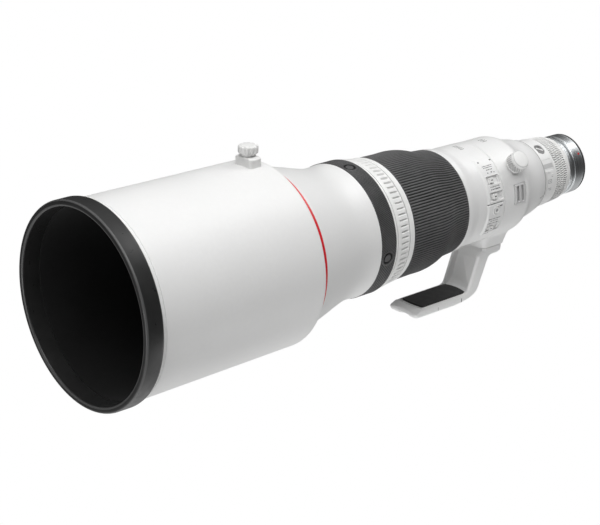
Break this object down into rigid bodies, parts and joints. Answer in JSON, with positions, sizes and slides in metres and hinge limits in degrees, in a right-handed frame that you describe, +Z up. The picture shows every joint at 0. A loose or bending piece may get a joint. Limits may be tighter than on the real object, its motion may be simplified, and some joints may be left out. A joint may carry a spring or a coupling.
{
  "type": "telephoto camera lens",
  "caption": "White super-telephoto camera lens with a hood clamped over its front, ridged focus grip, turning tripod collar with foot, and a bayonet mount.",
  "frame": {"origin": "centre of the camera mount's flange plane, on the optical axis", "axes": "+Y along the optical axis towards the camera, so the front of the lens faces -Y; +Z up, away from the tripod foot; +X towards the side with the switches"},
  "size_m": [0.191, 0.632, 0.222],
  "materials": {
    "white_paint": "satin white paint on light alloy, fine spatter grain",
    "white_moulded": "white moulded plastic, satin",
    "hood_white": "white painted composite tube, satin",
    "black_rubber": "matte moulded rubber",
    "black_moulded": "black moulded plastic, fine matte grain",
    "black_anodised": "black anodised alloy",
    "flock": "black flock",
    "mount_steel": "turned steel, blue-grey",
    "bright_metal": "plated brass",
    "steel": "bright steel",
    "alloy": "machined alloy",
    "glass": "coated optical glass",
    "red_paint": "red enamel",
    "grey_moulded": "grey moulded plastic",
    "gold": "gold-plated contact",
    "board": "printed circuit board",
    "copper": "motor winding stator"
  },
  "bodies": {
    "barrel": {"front_barrel": "white_paint", "red_ring": "red_paint", "front_retainer": "black_moulded", "front_element": "glass", "front_cell": "black_anodised", "inner_elements": "glass", "main_tube": "black_anodised", "button_band": "black_rubber", "switch_housing": "white_paint", "switch_panel_upper": "white_moulded", "switch_panel_lower": "white_moulded", "rear_barrel": "white_paint", "mount_base": "mount_steel", "bayonet_ring": "bright_metal", "mount_seal": "black_rubber", "mount_screws": "steel", "contact_block": "black_moulded", "contact_pins": "gold", "index_dot": "red_paint", "light_baffle": "black_moulded", "iris_unit": "black_moulded", "motor_stator": "copper", "guide_rods": "steel", "stabiliser_frame": "black_moulded", "main_board": "board", "rear_element": "glass"},
    "iris_drive": {"iris_ring": "alloy"},
    "motor": {"motor_rotor": "alloy"},
    "focus_group": {"focus_cell": "black_anodised", "focus_lens": "glass"},
    "stabiliser_y": {"stabiliser_yoke": "grey_moulded"},
    "stabiliser_x": {"stabiliser_lens": "glass"},
    "focus_ring": {"focus_sleeve": "alloy", "focus_grip": "black_rubber"},
    "playback": {"playback_ring": "white_moulded"},
    "control": {"control_ring": "white_moulded"},
    "button_a": {"function_button_a": "black_moulded"},
    "button_b": {"function_button_b": "black_moulded"},
    "button_c": {"function_button_c": "black_moulded"},
    "button_d": {"function_button_d": "black_moulded"},
    "range_slider": {"range_switch": "grey_moulded"},
    "mode_slider": {"mode_switch": "grey_moulded"},
    "preset_slider": {"preset_switch": "grey_moulded"},
    "set_button": {"preset_button": "white_moulded"},
    "filter_drawer": {"filter_holder": "white_moulded", "filter_glass": "glass"},
    "collar": {"collar_ring": "white_paint", "strap_lugs": "alloy", "tripod_foot": "white_paint", "tripod_bushes": "steel", "foot_screws": "steel", "foot_pad": "black_rubber"},
    "lock_knob": {"collar_knob": "white_moulded"},
    "shoe": {"brake_shoe": "black_moulded"},
    "hood": {"hood_shell": "hood_white", "hood_rim": "black_rubber", "hood_lining": "flock", "hood_base_ring": "black_moulded", "hood_clamp_block": "white_moulded"},
    "hood_lock": {"hood_knob": "white_moulded"}
  },
  "joints": [
    {"name": "focus_ring_turn", "type": "hinge", "parent": "barrel", "child": "focus_ring", "pos_m": [0, -0.243, 0], "axis": [0, 1, 0], "continuous": true},
    {"name": "playback_ring_twist", "type": "hinge", "parent": "barrel", "child": "playback", "pos_m": [0, -0.298, 0], "axis": [0, 1, 0], "range_deg": [-10, 10], "stiffness_Nm_per_rad": 0.6},
    {"name": "control_ring_turn", "type": "hinge", "parent": "barrel", "child": "control", "pos_m": [0, -0.038, 0], "axis": [0, 1, 0], "continuous": true},
    {"name": "function_button_a_press", "type": "slide", "parent": "barrel", "child": "button_a", "axis": [-0.1564, 0, -0.9877], "range_m": [0, 0.0008], "stiffness_N_per_m": 1200},
    {"name": "function_button_b_press", "type": "slide", "parent": "barrel", "child": "button_b", "axis": [-0.9877, 0, 0.1564], "range_m": [0, 0.0008], "stiffness_N_per_m": 1200},
    {"name": "function_button_c_press", "type": "slide", "parent": "barrel", "child": "button_c", "axis": [0.1564, 0, 0.9877], "range_m": [0, 0.0008], "stiffness_N_per_m": 1200},
    {"name": "function_button_d_press", "type": "slide", "parent": "barrel", "child": "button_d", "axis": [0.9877, 0, -0.1564], "range_m": [0, 0.0008], "stiffness_N_per_m": 1200},
    {"name": "range_switch_slide", "type": "slide", "parent": "barrel", "child": "range_slider", "axis": [0, 1, 0], "range_m": [0, 0.005]},
    {"name": "mode_switch_slide", "type": "slide", "parent": "barrel", "child": "mode_slider", "axis": [0, 1, 0], "range_m": [0, 0.005]},
    {"name": "preset_switch_slide", "type": "slide", "parent": "barrel", "child": "preset_slider", "axis": [0, 1, 0], "range_m": [0, 0.005]},
    {"name": "set_button_press", "type": "slide", "parent": "barrel", "child": "set_button", "axis": [-0.9981, 0, 0.061], "range_m": [0, 0.0008], "stiffness_N_per_m": 1000},
    {"name": "filter_drawer_pull", "type": "slide", "parent": "barrel", "child": "filter_drawer", "axis": [1, 0, 0], "range_m": [0, 0.062]},
    {"name": "collar_turn", "type": "hinge", "parent": "barrel", "child": "collar", "pos_m": [0, -0.106, 0], "axis": [0, 1, 0], "continuous": true},
    {"name": "collar_knob_turn", "type": "hinge", "parent": "collar", "child": "lock_knob", "pos_m": [0.04486, -0.1235, 0.03832], "axis": [0.7604, 0, 0.6494], "range_deg": [0, 270]},
    {"name": "brake_shoe_lift", "type": "slide", "parent": "collar", "child": "shoe", "axis": [0.7604, 0, 0.6494], "range_m": [0, 0.00078]},
    {"name": "hood_slide", "type": "slide", "parent": "barrel", "child": "hood", "axis": [0, -1, 0], "range_m": [0, 0.07]},
    {"name": "hood_knob_turn", "type": "hinge", "parent": "hood", "child": "hood_lock", "pos_m": [0, -0.438, 0.1], "axis": [0, 0, 1], "range_deg": [0, 360]},
    {"name": "motor_turn", "type": "hinge", "parent": "barrel", "child": "motor", "pos_m": [0, -0.222, 0], "axis": [0, 1, 0], "range_deg": [0, 150]},
    {"name": "focus_travel", "type": "slide", "parent": "barrel", "child": "focus_group", "axis": [0, 1, 0], "range_m": [0, 0.0121]},
    {"name": "iris_turn", "type": "hinge", "parent": "barrel", "child": "iris_drive", "pos_m": [0, -0.1826, 0], "axis": [0, 1, 0], "range_deg": [0, 40]},
    {"name": "stabiliser_pitch", "type": "slide", "parent": "barrel", "child": "stabiliser_y", "axis": [0, 0, 1], "range_m": [-0.0008, 0.0008], "stiffness_N_per_m": 1500},
    {"name": "stabiliser_yaw", "type": "slide", "parent": "stabiliser_y", "child": "stabiliser_x", "axis": [1, 0, 0], "range_m": [-0.0008, 0.0008], "stiffness_N_per_m": 1500}
  ],
  "couplings": [
    {"joint": "brake_shoe_lift", "follows": "collar_knob_turn", "m_per_rad": 0.00015915},
    {"joint": "focus_travel", "follows": "motor_turn", "m_per_rad": 0.0045837}
  ]
}
